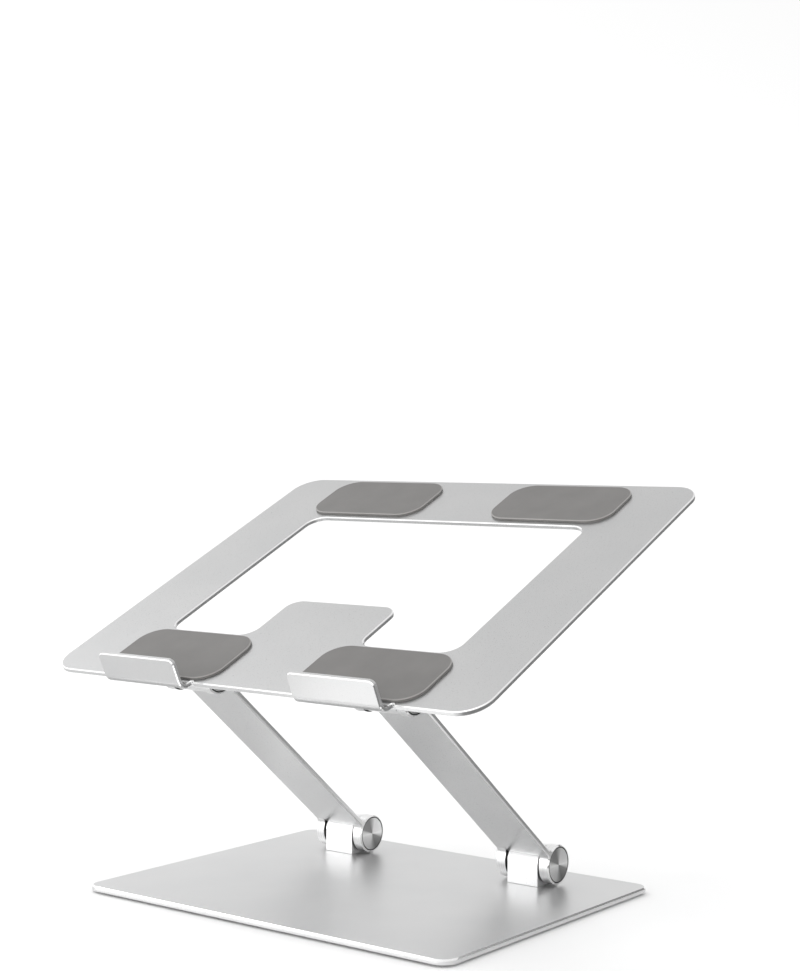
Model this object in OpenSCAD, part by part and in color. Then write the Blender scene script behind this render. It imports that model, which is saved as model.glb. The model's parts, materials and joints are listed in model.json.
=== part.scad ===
// Folding laptop stand: a base plate, two flat arms on friction hinges and a window tray.
// X is left to right, Y is front to back and Z is up. The origin is on the floor, under the
// middle of the base plate. The stand is drawn open, at arm_angle and tray_angle.

/* [Base] */
// Width of the base plate
base_w = 220; // [200:1:260]
// Depth of the base plate
base_d = 176; // [170:1:210]
// Thickness of the base plate
base_t = 2.5; // [2.5:0.1:5]
// Corner radius of the base plate
base_corner_r = 8; // [3:1:20]
// Diameter of a rubber foot
foot_d = 14; // [8:1:20]
// Height of a rubber foot below the base plate
foot_h = 1.2; // [0.8:0.1:3]
// Distance of a foot's centre from the two nearest edges
foot_inset = 14; // [12:1:30]

/* [Arms] */
// Distance from the middle of the stand to the middle of an arm
arm_x = 58.8; // [45:0.1:62]
// Distance between an arm's two hinge axes
arm_length = 155; // [140:0.5:170]
// Thickness of an arm's plate
arm_t = 2.7; // [2.5:0.1:4]
// Angle of the arms above level
arm_angle = 38.7; // [0:0.1:70]

/* [Hinges] */
// Radius of the barrels at the ends of the arms
barrel_r = 9.9; // [9.8:0.1:10.1]
// Radius of the round end of a hinge block
block_r = 9.3; // [9:0.1:9.4]
// Height of the lower axes above the base plate
lower_axis_h = 10.6; // [10.4:0.1:13]
// Distance of the lower axes behind the middle of the base
lower_axis_y = 57.7; // [50:0.1:65]
// Width of a hinge block
block_w = 18; // [16:1:20]
// Width of the gap between a block and an ear
gap_w = 1; // [0.8:0.1:1.5]
// Width of an ear
ear_w = 5.65; // [5.4:0.05:7]
// Radius of the hinge pins
pin_r = 3; // [2.5:0.1:3.2]
// Radial clearance of a pin in its block
pin_play = 0.04; // [0.01:0.01:0.1]

/* [Tray] */
// Width of the tray
tray_w = 257.5; // [240:0.5:280]
// Depth of the tray
tray_d = 218.3; // [210:0.1:230]
// Thickness of the tray's sheet
tray_t = 2.5; // [2.4:0.1:2.6]
// Corner radius of the tray
tray_corner_r = 14; // [8:1:20]
// Slope of the tray, rising to the back
tray_angle = 25; // [0:0.5:50]
// Distance of the upper axes behind the tray's front edge
tray_overhang = 28.75; // [26:0.05:32]
// Distance of the upper axes below the tray's top face
tray_axis_h = 13.1; // [12.9:0.1:14]

/* [Window] */
// Width of the window
window_w = 175; // [160:1:190]
// Distance from the tray's front edge to the window's front edge
window_front = 45; // [44:0.5:50]
// Distance from the tray's front edge to the window's back edge
window_back = 171.3; // [160:0.1:172]
// Corner radius of the window
window_corner_r = 9; // [4:1:15]
// Width of the tongue that stands into the window
tongue_w = 66; // [40:1:80]
// Distance from the tray's front edge to the tongue's end
tongue_end = 81; // [70:1:90]
// Radius of the tongue's corners
tongue_r = 8; // [3:1:12]

/* [Lips] */
// Width of a lip
lip_w = 49; // [40:0.5:60]
// Height of a lip above the tray's top face
lip_h = 14.9; // [10:0.1:20]
// Outside radius of the bend at a lip's foot
lip_bend_r = 6; // [3:0.1:7]
// Radius of a lip's top corners
lip_corner_r = 3; // [1:0.5:6]
// Width of the relief notches beside a lip
notch_w = 2; // [1:0.1:3]
// Depth of the relief notches
notch_d = 1.4; // [1:0.1:1.6]

/* [Pads] */
// Width of a silicone pad
pad_w = 72; // [60:1:76]
// Thickness of a silicone pad
pad_t = 1.5; // [1:0.1:2.5]
// Corner radius of a pad
pad_corner_r = 12; // [4:1:16]
// Distance from the tray's front edge to the front pads' front edge
pad_front_start = 1.8; // [1.8:0.1:3]
// Distance from the tray's front edge to the front pads' back edge
pad_front_end = 42; // [40:0.1:43]
// Distance from the tray's front edge to the back pads' front edge
pad_back_start = 174.5; // [174:0.1:176]
// Distance from the tray's front edge to the back pads' back edge
pad_back_end = 213.5; // [210:0.1:214]

/* [Hidden] */
$fn = 96;
CUT = 1;

arm_w = block_w + 2 * gap_w + 2 * ear_w;
slot_w = block_w + 2 * gap_w;
// Radius of the hollow at the end of an arm's slot, around the block's round end
slot_r = block_r + 0.2;
// Radius of the fillets between an arm's plate and its ears
ear_fillet = 3;

// Disc let into each end of a hinge, set back a little, with a groove around it
cap_r = barrel_r - 1.2;
cap_t = 1.1;
cap_set_back = 0.15;
cap_groove = 0.3;
cap_recess = cap_t + cap_set_back;

// Pocket behind a disc, for the pin's head at one end and the nut at the other
pocket_r = 5.2;
pocket_depth = ear_w - 1.8;
head_r = 4.6;
head_t = 2.1;
thread_r = 2.5;
nut_af = 8;
nut_t = 2.1;
// Clearance of a pin in the pieces that turn with it
bore_play = 0.02;

washer_r = block_r - 0.8;
washer_t = gap_w - 0.1;

// Countersunk screws that hold the blocks
screw_r = 2;
screw_play = 0.02;
screw_head_r = 3.7;
screw_half_pitch = 5;
screw_in_block = 4.6;
screw_hole_in_block = screw_in_block + 0.4;
socket_r = 1.4;
socket_depth = 1.2;

base_z = foot_h;
lower_axis_z = base_z + base_t + lower_axis_h;
upper_axis_y = lower_axis_y - arm_length * cos(arm_angle);
upper_axis_z = lower_axis_z + arm_length * sin(arm_angle);

LEFT = -1;
RIGHT = 1;
FRONT = -1;
REAR = 1;
OUTER = 1;
INNER = -1;

// ---- Places ----

// What is drawn for the right side, or its mirror image on the left
module on_side(side) {
    mirror([side == LEFT ? 1 : 0, 0, 0])
        children();
}

// Hinge frames: X runs outwards along the axis from the middle of the arm
module at_lower_axis(side) {
    on_side(side)
        translate([arm_x, lower_axis_y, lower_axis_z])
            children();
}

module at_upper_axis(side) {
    on_side(side)
        translate([arm_x, upper_axis_y, upper_axis_z])
            children();
}

// Arm frame: origin on the lower axis, Y up the arm towards the upper axis and Z out of the
// plate's back
module in_arm(side) {
    at_lower_axis(side)
        rotate([0, 0, 180])
            rotate([arm_angle, 0, 0])
                children();
}

// Tray frame: X across the stand, Y up the slope from the tray's front edge and Z out of the
// tray's top face
module in_tray() {
    translate([0, upper_axis_y, upper_axis_z])
        rotate([tray_angle, 0, 0])
            translate([0, -tray_overhang, tray_axis_h])
                children();
}

// ---- Shapes that repeat ----

// Rounded rectangle with its corner at the origin
module rounded_rect(w, d, r) {
    translate([r, 0])
        square([w - 2 * r, d]);
    translate([0, r])
        square([w, d - 2 * r]);
    for (x = [r, w - r], y = [r, d - r])
        translate([x, y])
            circle(r);
}

// Cylinder along X, centred on the origin
module x_cylinder(r, length) {
    rotate([0, 90, 0])
        cylinder(r = r, h = length, center = true);
}

// Corner filler between two edges that meet at the origin, for a fillet of radius r
module inside_corner(r) {
    difference() {
        translate([-CUT, -CUT])
            square(r + CUT);
        translate([r, r])
            circle(r);
    }
}

// ---- Base ----

module at_screws() {
    for (x = [-screw_half_pitch, screw_half_pitch])
        translate([x, 0, 0])
            children();
}

// Countersunk screw: the head's face is at the origin and the shank runs along +Z
module countersunk(shank, play) {
    cylinder(r = screw_r + play, h = shank);
    cylinder(r1 = screw_head_r + play, r2 = screw_r + play, h = screw_head_r - screw_r);
}

module screw(shank) {
    difference() {
        countersunk(shank, 0);
        translate([0, 0, -CUT])
            cylinder(r = socket_r, h = CUT + socket_depth, $fn = 6);
    }
}

module base_plate() {
    color("silver")
        difference() {
            translate([-base_w / 2, -base_d / 2, base_z])
                linear_extrude(base_t)
                    rounded_rect(base_w, base_d, base_corner_r);
            for (side = [LEFT, RIGHT])
                translate([side * arm_x, lower_axis_y, base_z])
                    at_screws()
                        countersunk(base_t + CUT, screw_play);
        }
}

module foot(side, end) {
    color("dimgray")
        translate([side * (base_w / 2 - foot_inset), end * (base_d / 2 - foot_inset), 0])
            cylinder(d = foot_d, h = foot_h);
}

module block_screws(side) {
    color("gray")
        translate([side * arm_x, lower_axis_y, base_z])
            at_screws()
                screw(base_t + screw_in_block);
}

// Hinge block with its bore along X at the origin and its foot face at Z = -stand_h
module hinge_block(stand_h) {
    difference() {
        union() {
            x_cylinder(block_r, block_w);
            translate([-block_w / 2, -block_r, -stand_h])
                cube([block_w, 2 * block_r, stand_h]);
        }
        x_cylinder(pin_r + pin_play, block_w + 2 * CUT);
        translate([0, 0, -stand_h - CUT])
            at_screws()
                cylinder(r = screw_r + screw_play, h = CUT + screw_hole_in_block);
    }
}

module base_block(side) {
    color("silver")
        at_lower_axis(side)
            hinge_block(lower_axis_h);
}

// ---- Arms ----

// Fills the corner between the plate's back and the barrel, in the plane across the axis
module ear_fillet_2d() {
    fillet_h = arm_t / 2 + ear_fillet;
    fillet_y = sqrt(pow(barrel_r + ear_fillet, 2) - pow(fillet_h, 2));
    difference() {
        polygon([[0, 0], [fillet_y, 0], [fillet_y, fillet_h]]);
        translate([fillet_y, fillet_h])
            circle(ear_fillet);
    }
}

module ear_2d() {
    circle(barrel_r);
    ear_fillet_2d();
    mirror([0, 1])
        ear_fillet_2d();
}

// The two ears of one hinge, with the arm's plate leaving along +Y
module ears() {
    for (x = [-arm_w / 2, arm_w / 2 - ear_w])
        translate([x, 0, 0])
            rotate([90, 0, 90])
                linear_extrude(ear_w)
                    ear_2d();
}

// Everything that is cut out of one hinge end of the arm
module ear_cuts() {
    x_cylinder(slot_r, slot_w);
    x_cylinder(pin_r + bore_play, arm_w + 2 * CUT);
    for (end = [INNER, OUTER]) {
        translate([end * (arm_w / 2 + CUT / 2 - cap_recess / 2), 0, 0])
            x_cylinder(cap_r + cap_groove, cap_recess + CUT);
        translate([end * (arm_w / 2 + CUT / 2 - pocket_depth / 2), 0, 0])
            x_cylinder(pocket_r, pocket_depth + CUT);
    }
}

module arm(side) {
    color("silver")
        in_arm(side)
            difference() {
                union() {
                    translate([-arm_w / 2, 0, -arm_t / 2])
                        cube([arm_w, arm_length, arm_t]);
                    ears();
                    translate([0, arm_length, 0])
                        mirror([0, 1, 0])
                            ears();
                }
                ear_cuts();
                translate([0, arm_length, 0])
                    ear_cuts();
            }
}

// ---- Hinge hardware, about an axis along X, with the pin's head towards +X ----

module pin() {
    floor_x = arm_w / 2 - pocket_depth;
    color("gray") {
        x_cylinder(pin_r, 2 * floor_x);
        translate([floor_x + head_t / 2, 0, 0])
            x_cylinder(head_r, head_t);
        translate([-floor_x - nut_t / 2, 0, 0])
            x_cylinder(thread_r, nut_t);
    }
}

module nut() {
    floor_x = arm_w / 2 - pocket_depth;
    color("gray")
        difference() {
            translate([-floor_x - nut_t, 0, 0])
                rotate([0, 90, 0])
                    cylinder(r = nut_af / 2 / cos(30), h = nut_t, $fn = 6);
            x_cylinder(thread_r + bore_play, arm_w);
        }
}

module washers() {
    color("lightgray")
        for (end = [INNER, OUTER])
            translate([end * (slot_w / 2 - washer_t / 2), 0, 0])
                difference() {
                    x_cylinder(washer_r, washer_t);
                    x_cylinder(pin_r + bore_play, washer_t + 2 * CUT);
                }
}

// Disc at the OUTER or INNER end of a hinge
module cap(end) {
    color("gainsboro")
        translate([end * (arm_w / 2 - cap_set_back - cap_t / 2), 0, 0])
            x_cylinder(cap_r, cap_t);
}

// ---- Tray ----

module tongue_2d() {
    translate([-tongue_w / 2, window_front - 2 * tongue_r])
        rounded_rect(tongue_w, tongue_end - window_front + 2 * tongue_r, tongue_r);
    for (side = [LEFT, RIGHT])
        on_side(side)
            translate([tongue_w / 2, window_front])
                inside_corner(tongue_r);
}

module window_2d() {
    difference() {
        translate([-window_w / 2, window_front])
            rounded_rect(window_w, window_back - window_front, window_corner_r);
        tongue_2d();
    }
}

// Relief notch with a round end, at the front edge
module notch_2d() {
    translate([-notch_w / 2, -CUT])
        square([notch_w, notch_d - notch_w / 2 + CUT]);
    translate([0, notch_d - notch_w / 2])
        circle(d = notch_w);
}

module sheet() {
    translate([0, 0, -tray_t])
        linear_extrude(tray_t)
            difference() {
                translate([-tray_w / 2, 0])
                    rounded_rect(tray_w, tray_d, tray_corner_r);
                window_2d();
                for (side = [LEFT, RIGHT], end = [INNER, OUTER])
                    translate([side * arm_x + end * (lip_w + notch_w) / 2, 0])
                        notch_2d();
            }
}

// Quarter ring of the bend at a lip's foot, seen from its end: out to the front, then up
module bend_2d() {
    translate([0, lip_bend_r - tray_t])
        intersection() {
            difference() {
                circle(lip_bend_r);
                circle(lip_bend_r - tray_t);
            }
            translate([-lip_bend_r, -lip_bend_r])
                square(lip_bend_r);
        }
    translate([0, -tray_t])
        square([CUT, tray_t]);
}

// Upright face of a lip, seen from the front, with its two top corners rounded
module lip_face_2d() {
    foot = lip_bend_r - tray_t;
    translate([-lip_w / 2, foot])
        square([lip_w, lip_h - foot - lip_corner_r]);
    intersection() {
        translate([-lip_w / 2, foot])
            rounded_rect(lip_w, lip_h - foot, lip_corner_r);
        translate([-lip_w / 2, lip_h - lip_corner_r])
            square([lip_w, lip_corner_r]);
    }
}

module lip() {
    translate([-lip_w / 2, 0, 0])
        rotate([90, 0, 90])
            linear_extrude(lip_w)
                bend_2d();
    translate([0, tray_t - lip_bend_r, 0])
        rotate([90, 0, 0])
            linear_extrude(tray_t)
                lip_face_2d();
}

module tray_plate() {
    color("silver")
        in_tray()
            difference() {
                union() {
                    sheet();
                    for (side = [LEFT, RIGHT])
                        translate([side * arm_x, 0, 0])
                            lip();
                }
                for (side = [LEFT, RIGHT])
                    translate([side * arm_x, tray_overhang, 0])
                        mirror([0, 0, 1])
                            at_screws()
                                countersunk(tray_t + CUT, screw_play);
            }
}

module tray_block(side) {
    color("silver")
        in_tray()
            translate([side * arm_x, tray_overhang, -tray_axis_h])
                mirror([0, 0, 1])
                    hinge_block(tray_axis_h - tray_t);
}

module tray_screws(side) {
    color("gray")
        in_tray()
            translate([side * arm_x, tray_overhang, 0])
                mirror([0, 0, 1])
                    at_screws()
                        screw(tray_t + screw_in_block);
}

module pad(side, start, end) {
    color("darkgray")
        in_tray()
            translate([side * arm_x - pad_w / 2, start, 0])
                linear_extrude(pad_t)
                    rounded_rect(pad_w, end - start, pad_corner_r);
}

module pad_front(side) {
    pad(side, pad_front_start, pad_front_end);
}

module pad_rear(side) {
    pad(side, pad_back_start, pad_back_end);
}

base_plate();
foot(LEFT, FRONT);  // foot_front_left
foot(RIGHT, FRONT);  // foot_front_right
foot(LEFT, REAR);  // foot_rear_left
foot(RIGHT, REAR);  // foot_rear_right
base_block(LEFT);  // base_block_left
base_block(RIGHT);  // base_block_right
block_screws(LEFT);  // block_screws_left
block_screws(RIGHT);  // block_screws_right
arm(LEFT);  // arm_left
arm(RIGHT);  // arm_right
at_lower_axis(LEFT) pin();  // lower_pin_left
at_lower_axis(RIGHT) pin();  // lower_pin_right
at_lower_axis(LEFT) nut();  // lower_nut_left
at_lower_axis(RIGHT) nut();  // lower_nut_right
at_lower_axis(LEFT) washers();  // lower_washers_left
at_lower_axis(RIGHT) washers();  // lower_washers_right
at_lower_axis(LEFT) cap(OUTER);  // lower_cap_left_outer
at_lower_axis(LEFT) cap(INNER);  // lower_cap_left_inner
at_lower_axis(RIGHT) cap(INNER);  // lower_cap_right_inner
at_lower_axis(RIGHT) cap(OUTER);  // lower_cap_right_outer
at_upper_axis(LEFT) pin();  // upper_pin_left
at_upper_axis(RIGHT) pin();  // upper_pin_right
at_upper_axis(LEFT) nut();  // upper_nut_left
at_upper_axis(RIGHT) nut();  // upper_nut_right
at_upper_axis(LEFT) washers();  // upper_washers_left
at_upper_axis(RIGHT) washers();  // upper_washers_right
at_upper_axis(LEFT) cap(OUTER);  // upper_cap_left_outer
at_upper_axis(LEFT) cap(INNER);  // upper_cap_left_inner
at_upper_axis(RIGHT) cap(INNER);  // upper_cap_right_inner
at_upper_axis(RIGHT) cap(OUTER);  // upper_cap_right_outer
tray_plate();
tray_block(LEFT);  // tray_block_left
tray_block(RIGHT);  // tray_block_right
tray_screws(LEFT);  // tray_screws_left
tray_screws(RIGHT);  // tray_screws_right
pad_front(LEFT);  // pad_front_left
pad_front(RIGHT);  // pad_front_right
pad_rear(LEFT);  // pad_rear_left
pad_rear(RIGHT);  // pad_rear_right
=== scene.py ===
"""Looks of the folding laptop stand: aluminium with cut edges, spun discs and silicone pads."""

import json
import math

import bmesh
import bpy
from mathutils import Matrix, Vector

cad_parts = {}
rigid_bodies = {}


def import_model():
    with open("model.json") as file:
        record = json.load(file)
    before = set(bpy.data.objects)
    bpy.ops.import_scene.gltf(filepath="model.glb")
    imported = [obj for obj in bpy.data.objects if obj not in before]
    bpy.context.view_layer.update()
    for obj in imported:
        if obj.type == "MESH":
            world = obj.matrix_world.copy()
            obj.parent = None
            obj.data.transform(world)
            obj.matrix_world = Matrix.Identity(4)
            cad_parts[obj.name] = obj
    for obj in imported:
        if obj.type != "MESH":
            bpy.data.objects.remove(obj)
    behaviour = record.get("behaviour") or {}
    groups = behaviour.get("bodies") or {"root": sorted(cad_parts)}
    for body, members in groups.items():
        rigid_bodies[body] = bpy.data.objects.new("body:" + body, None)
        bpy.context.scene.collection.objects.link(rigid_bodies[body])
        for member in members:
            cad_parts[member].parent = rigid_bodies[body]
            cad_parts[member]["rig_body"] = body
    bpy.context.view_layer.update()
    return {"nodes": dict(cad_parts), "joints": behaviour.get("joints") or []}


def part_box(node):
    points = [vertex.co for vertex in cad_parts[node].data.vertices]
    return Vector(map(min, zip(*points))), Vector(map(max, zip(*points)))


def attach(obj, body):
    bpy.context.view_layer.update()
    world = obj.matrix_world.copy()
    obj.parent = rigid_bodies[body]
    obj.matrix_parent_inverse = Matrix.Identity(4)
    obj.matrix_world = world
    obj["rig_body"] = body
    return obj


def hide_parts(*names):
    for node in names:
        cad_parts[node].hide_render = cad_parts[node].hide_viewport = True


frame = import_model()
NODES = frame["nodes"]
MM = 0.001

# ---- Camera ----

# The view in which the base, the tray and the arms line up with the photograph
CAMERA_PLACE = Vector((0.55232, -0.71198, 0.21769))
CAMERA_AZIMUTH = math.radians(36.961)
CAMERA_PITCH = math.radians(-0.956)
CAMERA_ROLL = math.radians(0.533)
CAMERA_LENS = 67.37
CAMERA_SENSOR = 36.0
CAMERA_NEAR = 0.01
CAMERA_FAR = 50.0


def make_camera():
    data = bpy.data.cameras.new("camera")
    data.lens = CAMERA_LENS
    data.sensor_width = CAMERA_SENSOR
    data.sensor_fit = "AUTO"
    data.clip_start = CAMERA_NEAR
    data.clip_end = CAMERA_FAR
    camera = bpy.data.objects.new("camera", data)
    bpy.context.scene.collection.objects.link(camera)
    forward = Vector((
        -math.sin(CAMERA_AZIMUTH) * math.cos(CAMERA_PITCH),
        math.cos(CAMERA_AZIMUTH) * math.cos(CAMERA_PITCH),
        math.sin(CAMERA_PITCH),
    ))
    level = Vector((math.cos(CAMERA_AZIMUTH), math.sin(CAMERA_AZIMUTH), 0.0))
    upright = level.cross(forward)
    right = math.cos(CAMERA_ROLL) * level + math.sin(CAMERA_ROLL) * upright
    up = math.cos(CAMERA_ROLL) * upright - math.sin(CAMERA_ROLL) * level
    turn = Matrix((right, up, -forward)).transposed().to_4x4()
    camera.matrix_world = Matrix.Translation(CAMERA_PLACE) @ turn
    bpy.context.scene.camera = camera


# ---- Node helpers ----

# Noise seldom leaves this range
NOISE_LOW = 0.3
NOISE_HIGH = 0.7
# Places of the colour sockets on a Mix node
MIX_FACTOR, MIX_FIRST, MIX_SECOND = 0, 6, 7
MIX_RESULT = 2


def grey(value, warmth=0.0):
    return (value * (1 + warmth), value, value * (1 - warmth), 1.0)


def plug(tree, socket, value):
    """Links a socket to another one, or gives it a plain value."""
    if isinstance(value, bpy.types.NodeSocket):
        tree.links.new(value, socket)
    else:
        socket.default_value = value


class Graph:
    """A material's node tree with short calls to add and join nodes."""

    def __init__(self, name):
        self.material = bpy.data.materials.new(name)
        self.material.use_nodes = True
        self.tree = self.material.node_tree
        self.shader = self.tree.nodes["Principled BSDF"]

    def add(self, kind, inputs=None, **settings):
        node = self.tree.nodes.new(kind)
        for key, value in settings.items():
            setattr(node, key, value)
        for key, value in (inputs or {}).items():
            plug(self.tree, node.inputs[key], value)
        return node

    def finish(self, **values):
        """Sets or links the shader's own sockets, and returns the material."""
        for key, value in values.items():
            plug(self.tree, self.shader.inputs[key.replace("_", " ")], value)
        return self.material

    def place(self, kind="Object"):
        return self.add("ShaderNodeTexCoord").outputs[kind]

    def vector_math(self, operation, first, second=(0.0, 0.0, 0.0)):
        inputs = {0: first, 1: second}
        return self.add("ShaderNodeVectorMath", inputs, operation=operation).outputs

    def math(self, operation, first, second=0.0):
        inputs = {0: first, 1: second}
        return self.add("ShaderNodeMath", inputs, operation=operation).outputs[0]

    def along_x(self, value):
        """A place that changes with one value only, for noise that forms lines."""
        return self.add("ShaderNodeCombineXYZ", {"X": value}).outputs[0]

    def noise(self, scale, detail=2.0, place=None, roughness=0.5):
        """Noise with about `scale` grains per metre, from 0 to 1."""
        return self.add(
            "ShaderNodeTexNoise",
            {"Vector": place or self.place(), "Scale": scale, "Detail": detail,
             "Roughness": roughness},
        ).outputs["Fac"]

    def spread(self, value, low, high, from_low=NOISE_LOW, from_high=NOISE_HIGH):
        """Maps a value to the range low to high, and holds it there."""
        return self.add(
            "ShaderNodeMapRange",
            {"Value": value, "From Min": from_low, "From Max": from_high,
             "To Min": low, "To Max": high},
        ).outputs["Result"]

    def blend(self, factor, first, second, mode="MIX"):
        node = self.add("ShaderNodeMix", data_type="RGBA", blend_type=mode)
        plug(self.tree, node.inputs[MIX_FACTOR], factor)
        plug(self.tree, node.inputs[MIX_FIRST], first)
        plug(self.tree, node.inputs[MIX_SECOND], second)
        return node.outputs[MIX_RESULT]

    def shades(self, noise, low_colour, high_colour):
        """A colour that wanders between two colours with the noise."""
        return self.blend(self.spread(noise, 0.0, 1.0), low_colour, high_colour)

    def specks(self, colour, noise, darkest):
        """A colour that the noise darkens, to `darkest` of itself at most."""
        speck = self.shades(noise, grey(darkest), grey(1.0))
        return self.blend(1.0, colour, speck, "MULTIPLY")

    def bump(self, height, strength, depth, normal=None):
        inputs = {"Height": height, "Strength": strength, "Distance": depth}
        if normal is not None:
            inputs["Normal"] = normal
        return self.add("ShaderNodeBump", inputs).outputs["Normal"]


# ---- Materials ----

# A clear oxide layer lies over the anodised metal and dims its reflections a little
ANODISED_METALLIC = 0.88
ANODISED_SPECULAR = 0.4
BLASTED_ROUGHNESS = 0.27
BLASTED_ROUGHNESS_RANGE = 0.09


def blasted_aluminium(name, level, roughness=BLASTED_ROUGHNESS):
    """Bead-blasted, clear anodised aluminium: a fine even grain under a satin gloss."""
    g = Graph(name)
    clouds = g.noise(scale=22.0, detail=3.0)
    grain = g.noise(scale=2600.0, detail=2.0)
    pits = g.noise(scale=6200.0, detail=1.0)
    tone = g.shades(clouds, grey(level * 0.975, warmth=-0.004), grey(level * 1.02))
    relief = g.bump(grain, strength=0.14, depth=0.05 * MM)
    return g.finish(
        Base_Color=g.specks(tone, grain, darkest=0.93),
        Roughness=g.spread(grain, roughness, roughness + BLASTED_ROUGHNESS_RANGE),
        Normal=g.bump(pits, strength=0.12, depth=0.02 * MM, normal=relief),
        Metallic=ANODISED_METALLIC,
        Specular_IOR_Level=ANODISED_SPECULAR,
    )


def turned_aluminium(name, level):
    """Turned barrel: fine lines round the axis, so they vary along X only."""
    g = Graph(name)
    x = g.add("ShaderNodeSeparateXYZ", {0: g.place()}).outputs["X"]
    lines = g.noise(scale=2400.0, detail=2.0, place=g.along_x(x), roughness=0.6)
    grain = g.noise(scale=2600.0, detail=2.0)
    tone = g.shades(lines, grey(level * 0.86), grey(level * 1.05))
    return g.finish(
        Base_Color=g.specks(tone, grain, darkest=0.95),
        Roughness=g.spread(lines, 0.24, 0.36),
        Normal=g.bump(lines, strength=0.3, depth=0.03 * MM),
        Metallic=ANODISED_METALLIC,
    )


def cut_aluminium(name):
    """Diamond-cut edge: bright, with faint tool marks."""
    g = Graph(name)
    marks = g.noise(scale=3000.0, detail=1.0)
    return g.finish(
        Base_Color=g.shades(marks, grey(0.86), grey(0.93)),
        Roughness=g.spread(marks, 0.14, 0.22),
        Normal=g.bump(marks, strength=0.08, depth=0.02 * MM),
        Metallic=1.0,
    )


# Generated coordinates run from 0 to 1 across a disc, whose axis is along X
DISC_MIDDLE = (0.5, 0.5, 0.5)
ACROSS_AXIS = (0.0, 1.0, 1.0)
# Painted highlight and painted shade on a spun disc, by the direction (y, z) from its middle:
# the painted dark and light quarters follow y times z, and the painted bright band follows the
# size of z
PAINTED_QUARTER_DARK_END, PAINTED_QUARTER_LIGHT_END = -0.34, 0.3
PAINTED_BAND_INNER, PAINTED_BAND_OUTER = 0.04, 0.4
PAINTED_SHADE_QUARTER, PAINTED_LIGHT_QUARTER, PAINTED_HIGHLIGHT_BAND = 0.3, 0.92, 1.0


def spun_aluminium(name):
    """Turned disc: fine rings round the hinge axis, which fan its highlights out.

    The fans are painted highlights and painted shade: their light and dark quarters and their
    bright band are drawn into the colour as well as left to the shader's anisotropy, because
    soft light gives them little contrast.
    """
    g = Graph(name)
    from_middle = g.vector_math("SUBTRACT", g.place("Generated"), DISC_MIDDLE)[0]
    flat = g.vector_math("MULTIPLY", from_middle, ACROSS_AXIS)[0]
    radius = g.vector_math("LENGTH", flat)["Value"]
    rings = g.noise(scale=110.0, detail=3.0, place=g.along_x(radius), roughness=0.7)
    outwards = g.vector_math("NORMALIZE", flat)[0]
    parts = g.add("ShaderNodeSeparateXYZ", {0: outwards}).outputs
    quarter = g.math("MULTIPLY", parts["Y"], parts["Z"])
    fan = g.spread(quarter, 0.0, 1.0, PAINTED_QUARTER_DARK_END, PAINTED_QUARTER_LIGHT_END)
    steepness = g.math("ABSOLUTE", parts["Z"])
    band = g.spread(steepness, 1.0, 0.0, PAINTED_BAND_INNER, PAINTED_BAND_OUTER)
    # Painted shade and painted highlight: dark and light quarters and a bright band in the
    # colour
    fans = g.blend(fan, grey(PAINTED_SHADE_QUARTER), grey(PAINTED_LIGHT_QUARTER))
    tone = g.blend(band, fans, grey(PAINTED_HIGHLIGHT_BAND))
    return g.finish(
        Base_Color=g.specks(tone, rings, darkest=0.84),
        Roughness=g.spread(rings, 0.34, 0.42),
        Normal=g.bump(rings, strength=0.25, depth=0.02 * MM),
        Tangent=g.add("ShaderNodeTangent", direction_type="RADIAL", axis="X").outputs[0],
        Metallic=1.0,
        Anisotropic=0.7,
        Anisotropic_Rotation=0.25,
    )


def bright_steel(name, level):
    """Turned or plated steel with a fine grain."""
    g = Graph(name)
    grain = g.noise(scale=1800.0, detail=3.0)
    return g.finish(
        Base_Color=g.shades(grain, grey(level * 0.9), grey(level * 1.05)),
        Roughness=g.spread(grain, 0.24, 0.36),
        Normal=g.bump(grain, strength=0.15, depth=0.02 * MM),
        Metallic=1.0,
    )


def silicone(name, level, warmth):
    """Silicone or rubber: matt, slightly mottled, with a fine moulded grain."""
    g = Graph(name)
    clouds = g.noise(scale=60.0, detail=3.0)
    grain = g.noise(scale=2400.0, detail=2.0)
    tone = g.shades(clouds, grey(level * 0.94, warmth), grey(level * 1.06, warmth))
    return g.finish(
        Base_Color=g.specks(tone, grain, darkest=0.9),
        Roughness=g.spread(grain, 0.5, 0.64),
        Normal=g.bump(grain, strength=0.3, depth=0.06 * MM),
        Specular_IOR_Level=0.5,
    )


# All parts are of one aluminium. Each has its own level, and the base a softer gloss, so that
# its tone in this studio is the one in the photograph: the differences between the levels are
# painted light and painted shade, lit and shaded copies of one material.
BASE_ANODISED = blasted_aluminium("anodised_blasted_base", 0.67, roughness=0.33)
# Painted light: the blocks' level is raised so that their fronts read white
BLOCK_ANODISED = blasted_aluminium("anodised_blasted_block", 0.9)
TRAY_ANODISED = blasted_aluminium("anodised_blasted_tray", 0.54)
# Painted light: the arms' level is raised to lighten their faces, which reflect the tray's dark
# underside
ARM_ANODISED = blasted_aluminium("anodised_blasted_arm", 0.75)
TURNED = turned_aluminium("turned_barrel", 0.92)
CUT_EDGE = cut_aluminium("cut_edge")
# The spun discs carry painted highlights and painted shade in their colour
SPUN_PAINTED_HIGHLIGHTS = spun_aluminium("spun_disc_painted_highlights")
STEEL = bright_steel("bright_steel", 0.62)
# Painted shade: the washers sit in the gaps between ears and blocks, and their dark colour
# stands in for the shade in these gaps
WASHER = bright_steel("washer_painted_gap_shade", 0.16)
# Painted shade: a dark colour for the ears' recesses and bores and for the cut edges of the
# caps
SHADE = bright_steel("painted_shade_groove", 0.12)
PAD = silicone("pad_silicone_grey", 0.15, warmth=0.03)
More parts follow.
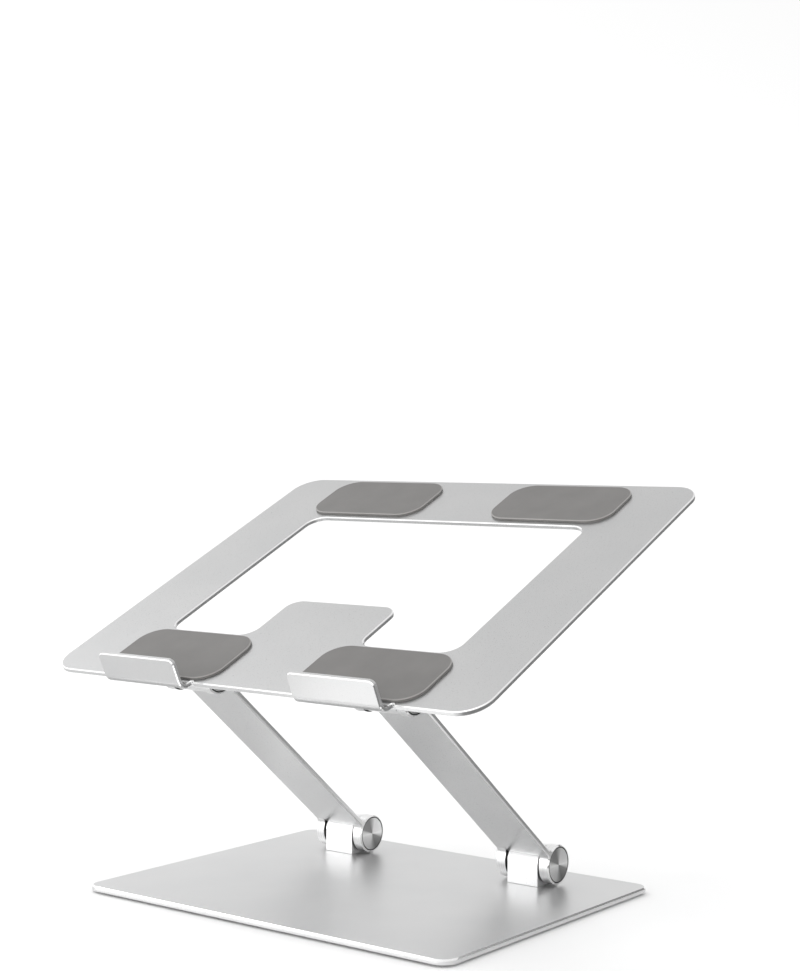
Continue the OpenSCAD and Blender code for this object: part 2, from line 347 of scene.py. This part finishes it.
# Painted highlight: a lighter copy of the pad silicone for the pads' rounded edges
PAD_PAINTED_HIGHLIGHT_RIM = silicone("pad_silicone_painted_highlight_rim", 0.3, warmth=0.03)
FOOT = silicone("foot_rubber_black", 0.03, warmth=0.0)

# Places in a piece's list of materials
BODY, EDGE, BARREL, RECESS = range(4)

BASE_METAL = (BASE_ANODISED, CUT_EDGE)
BLOCK_METAL = (BLOCK_ANODISED, CUT_EDGE)
TRAY_METAL = (TRAY_ANODISED, CUT_EDGE)
# The recess and bore of each ear get painted shade
ARM_METAL = (ARM_ANODISED, CUT_EDGE, TURNED, SHADE)
# The cap's cut edge gets painted shade, a dark ring round the disc
CAP_METAL = (SPUN_PAINTED_HIGHLIGHTS, SHADE)
PAD_SILICONE = (PAD, PAD_PAINTED_HIGHLIGHT_RIM)

# ---- Shapes ----

# Corners closer together than this are one corner
SEAM = 1e-6
# Faces that meet at less than this are one flat face
FLAT_ANGLE = math.radians(0.05)
# Only corners sharper than this are cut
CORNER_ANGLE = math.radians(60.0)
# Edges sharper than this stay creased in the shading
CREASE_ANGLE = math.radians(35.0)
# A bevel of this profile is an arc of a circle
ROUND_PROFILE = 0.5
# A face whose unit normal has less than this along an axis runs along that axis
ALONG = 0.1

# Widths of the cuts (one segment) and roundings (more segments) along the edges
BASE_CUT = 0.75 * MM
PLATE_CUT = 0.5 * MM
UNDERSIDE_ROUND = 0.25 * MM
EAR_CUT = 0.6 * MM
BLOCK_ROUND = 0.3 * MM
CAP_CUT = 0.25 * MM
HOLE_CUT = 0.12 * MM
PAD_ROUND = 0.45 * MM
ROUND_SEGMENTS = 2
PAD_SEGMENTS = 3

# The turned ears at the arms' ends
EAR_RADIUS = 9.9 * MM
# How far a facet's middle may be from the ear's true circle
EAR_SLACK = 0.05 * MM
# Faces this far inside the circle belong to the recess or the bore
RECESS_MARGIN = 0.8 * MM
# Faces nearer to the ear's side than this are its flat rim
RIM_DEPTH = 0.1 * MM
# Corners this far inside the circle aren't on the outline
OUTLINE_MARGIN = 0.3 * MM


def welded(name):
    """A CAD node's solid with its split corners joined and its flat faces in one piece."""
    bm = bmesh.new()
    bm.from_mesh(NODES[name].data)
    bmesh.ops.remove_doubles(bm, verts=bm.verts, dist=SEAM)
    bmesh.ops.dissolve_limit(
        bm, angle_limit=FLAT_ANGLE, verts=bm.verts, edges=bm.edges, delimit={"NORMAL"}
    )
    for face in bm.faces:
        face.material_index = BODY
    return bm


def is_corner(edge):
    """True for an outward corner of about a right angle."""
    return (
        len(edge.link_faces) == 2
        and edge.is_convex
        and edge.calc_face_angle(0.0) > CORNER_ANGLE
    )


def cut(bm, width, chosen=None, segments=1, material=EDGE):
    """Cuts (one segment) or rounds the outward corners for which chosen(edge) is true."""
    bm.normal_update()
    edges = [e for e in bm.edges if is_corner(e) and (chosen is None or chosen(e))]
    if edges:
        bmesh.ops.bevel(
            bm, geom=edges, offset=width, offset_type="OFFSET", segments=segments,
            profile=ROUND_PROFILE, affect="EDGES", clamp_overlap=False, material=material,
            loop_slide=True,
        )


def finish_mesh(bm, name, materials):
    """Turns an edited mesh into a smoothly shaded object with crisp creases."""
    bm.normal_update()
    for face in bm.faces:
        face.smooth = True
    for edge in bm.edges:
        edge.smooth = len(edge.link_faces) == 2 and edge.calc_face_angle(0.0) < CREASE_ANGLE
    mesh = bpy.data.meshes.new(name)
    bm.to_mesh(mesh)
    bm.free()
    for material in materials:
        mesh.materials.append(material)
    piece = bpy.data.objects.new(name, mesh)
    bpy.context.scene.collection.objects.link(piece)
    piece.modifiers.new("weighted", "WEIGHTED_NORMAL").keep_sharp = True
    return piece


def stand_for(bm, node, materials):
    """Turns a finished copy of a CAD node into the piece that is shown for it."""
    piece = finish_mesh(bm, node + "_finished", materials)
    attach(piece, NODES[node]["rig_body"])
    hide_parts(node)


def make_base():
    bm = welded("base_plate")
    low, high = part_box("base_plate")

    def on_top(edge):
        return all(v.co.z > high.z - SEAM for v in edge.verts)

    def on_bottom_outline(edge):
        at_bottom = all(v.co.z < low.z + SEAM for v in edge.verts)
        return at_bottom and any(abs(f.normal.z) < ALONG for f in edge.link_faces)

    cut(bm, BASE_CUT, on_top)
    cut(bm, UNDERSIDE_ROUND, on_bottom_outline, ROUND_SEGMENTS, BODY)
    stand_for(bm, "base_plate", BASE_METAL)


def make_arm(node, axes):
    """Cuts an arm's outline and marks the turned outside of its ears, and their inside for
    painted shade.
    """
    bm = welded(node)
    low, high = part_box(node)

    def from_axis(place):
        return min((place.yz - axis).length for axis in axes)

    def from_side(place):
        return min(place.x - low.x, high.x - place.x)

    for face in bm.faces:
        middle = face.calc_center_median()
        radius = from_axis(middle)
        if abs(face.normal.x) < ALONG and abs(radius - EAR_RADIUS) < EAR_SLACK:
            face.material_index = BARREL
        # Faces inside the recess and bore get painted shade
        elif radius < EAR_RADIUS - RECESS_MARGIN and from_side(middle) > RIM_DEPTH:
            face.material_index = RECESS

    def on_outline(edge):
        return all(
            from_side(v.co) < SEAM and from_axis(v.co) >= EAR_RADIUS - OUTLINE_MARGIN
            for v in edge.verts
        )

    cut(bm, EAR_CUT, on_outline)
    cut(bm, HOLE_CUT, material=BODY)
    stand_for(bm, node, ARM_METAL)


def make_arms():
    axes = [Vector(joint["pos_m"]).yz for joint in frame["joints"]]
    for node in ("arm_left", "arm_right"):
        make_arm(node, axes)


def make_tray():
    bm = welded("tray_plate")
    cut(bm, PLATE_CUT)
    stand_for(bm, "tray_plate", TRAY_METAL)


def make_blocks():
    for node in ("base_block_left", "base_block_right", "tray_block_left", "tray_block_right"):
        bm = welded(node)
        cut(bm, BLOCK_ROUND, None, ROUND_SEGMENTS, BODY)
        stand_for(bm, node, BLOCK_METAL)


def make_caps():
    for node in NODES:
        if "_cap_" in node:
            bm = welded(node)
            # The cut edge takes the painted shade, a dark ring round the disc
            cut(bm, CAP_CUT)
            stand_for(bm, node, CAP_METAL)


def make_pads():
    for node in ("pad_front_left", "pad_front_right", "pad_rear_left", "pad_rear_right"):
        bm = welded(node)
        # The rounded edge takes the lighter silicone, a painted highlight
        cut(bm, PAD_ROUND, None, PAD_SEGMENTS)
        stand_for(bm, node, PAD_SILICONE)


def dress(node, material):
    for slot in NODES[node].material_slots:
        slot.material = material


def make_hardware():
    """Gives the CAD nodes that are shown as they are their materials."""
    for node in NODES:
        if node.startswith("foot_"):
            dress(node, FOOT)
        elif "washers" in node:
            # The washers' dark colour is painted shade for the hinge gaps
            dress(node, WASHER)
        elif any(word in node for word in ("_pin_", "_nut_", "screws")):
            dress(node, STEEL)


# ---- Studio ----

FLOOR_HALF = 40.0
FLOOR_SQUARES = 8
# Half the side of a card before its width and height stretch it
UNIT_HALF = 0.5
# Brightness of the room by how far a direction points up and back
WORLD_SLOPE = (0.0, 0.6, 0.8)
WORLD_RAMP = {"From Min": 0.1, "From Max": 0.8, "To Min": 1.4, "To Max": 0.92}

# Name, place, target, width, height and glow of each softbox
SOFTBOXES = (
    ("key", (-1.1, -1.5, 0.2), (0.0, 0.0, 0.02), 1.0, 0.5, 3.4),
    ("left", (-1.1, -0.1, 1.45), (0.0, 0.0, 0.05), 0.9, 0.9, 1.75),
)

# Heights at which the level cards lie over the floor, the second over the first
LOWER_CARD = 0.5 * MM
UPPER_CARD = 0.8 * MM
FACING_UP = (0.0, 0.0, 1.0)
DARK_LEVEL = 0.2
MID_LEVEL = 0.6
BOARD_GLOW = 1.9
# Name, place, direction it faces, width and height of each card
DARK_FLAGS = (
    ("flag_right", (0.75, 1.1, 0.45), (-0.75, -1.1, 0.0), 1.5, 0.9),
    ("flag_floor", (0.55, 0.275, LOWER_CARD), FACING_UP, 0.85, 1.45),
    ("flag_back", (0.4, 0.45, UPPER_CARD), FACING_UP, 0.6, 0.66),
)
GREY_FLAG = ("flag_left", (-0.21, -0.01, LOWER_CARD), FACING_UP, 0.19, 0.2)
BRIGHT_BOARDS = (
    ("board_front", (0.0, -0.3, LOWER_CARD), FACING_UP, 0.14, 0.32),
    ("board_low", (-0.02, -0.103, UPPER_CARD), FACING_UP, 0.34, 0.02),
)


def staged_square(name, squares, half):
    """A flat square of mesh that isn't part of the object, with no material yet."""
    bm = bmesh.new()
    bmesh.ops.create_grid(bm, x_segments=squares, y_segments=squares, size=half)
    mesh = bpy.data.meshes.new(name)
    bm.to_mesh(mesh)
    bm.free()
    piece = bpy.data.objects.new(name, mesh)
    bpy.context.scene.collection.objects.link(piece)
    return piece


def aim(piece, place, direction, axis):
    """Puts an object at a place, with its axis along a direction."""
    piece.location = place
    piece.rotation_mode = "QUATERNION"
    piece.rotation_quaternion = Vector(direction).to_track_quat(axis, "Y")


def make_floor():
    g = Graph("floor_white")
    white = g.finish(
        Base_Color=g.shades(g.noise(scale=6.0), grey(0.95), grey(0.97)),
        Roughness=0.9,
        Specular_IOR_Level=0.2,
    )
    staged_square("floor", FLOOR_SQUARES, FLOOR_HALF).data.materials.append(white)


def softbox(name, place, target, width, height, glow):
    """Area light with an even radiance of `glow`."""
    data = bpy.data.lights.new(name, "AREA")
    data.shape = "RECTANGLE"
    data.size = width
    data.size_y = height
    data.energy = glow * math.pi * width * height
    light = bpy.data.objects.new(name, data)
    aim(light, place, Vector(target) - Vector(place), "-Z")
    bpy.context.scene.collection.objects.link(light)


def card(material, name, place, facing, width, height):
    """Flat card that only reflections see."""
    piece = staged_square(name, 1, UNIT_HALF)
    piece.scale = (width, height, 1.0)
    aim(piece, place, facing, "Z")
    piece.visible_camera = False
    piece.visible_diffuse = False
    piece.visible_shadow = False
    piece.data.materials.append(material)


def cloth(name, level):
    g = Graph(name)
    weave = g.noise(scale=90.0, detail=2.0)
    return g.finish(
        Base_Color=g.blend(weave, grey(level * 0.9), grey(level * 1.1)),
        Roughness=1.0,
        Specular_IOR_Level=0.0,
    )


def bright_board(name, glow):
    g = Graph(name)
    return g.finish(
        Base_Color=grey(0.0),
        Emission_Color=g.blend(g.noise(scale=4.0), grey(0.97), grey(1.0)),
        Emission_Strength=glow,
    )


def make_world():
    """White room, a little dimmer at the back and towards the ceiling."""
    world = bpy.data.worlds.new("studio")
    world.use_nodes = True
    tree = world.node_tree
    direction = tree.nodes.new("ShaderNodeTexCoord")
    height = tree.nodes.new("ShaderNodeVectorMath")
    height.operation = "DOT_PRODUCT"
    height.inputs[1].default_value = WORLD_SLOPE
    tree.links.new(direction.outputs["Generated"], height.inputs[0])
    ramp = tree.nodes.new("ShaderNodeMapRange")
    for key, value in WORLD_RAMP.items():
        ramp.inputs[key].default_value = value
    tree.links.new(height.outputs["Value"], ramp.inputs["Value"])
    tree.links.new(ramp.outputs["Result"], tree.nodes["Background"].inputs["Strength"])
    tree.nodes["Background"].inputs["Color"].default_value = grey(1.0)
    bpy.context.scene.world = world


def make_studio():
    make_floor()
    for box in SOFTBOXES:
        softbox(*box)
    dark_cloth = cloth("dark_cloth", DARK_LEVEL)
    for flag in DARK_FLAGS:
        card(dark_cloth, *flag)
    card(cloth("grey_cloth", MID_LEVEL), *GREY_FLAG)
    board = bright_board("bright_board", BOARD_GLOW)
    for panel in BRIGHT_BOARDS:
        card(board, *panel)
    make_world()
    # Whites clip, as they do in the photograph, rather than roll off
    bpy.context.scene.view_settings.view_transform = "Standard"


make_camera()
make_studio()
make_base()
make_arms()
make_tray()
make_blocks()
make_caps()
make_pads()
make_hardware()

bpy.context.view_layer.update()
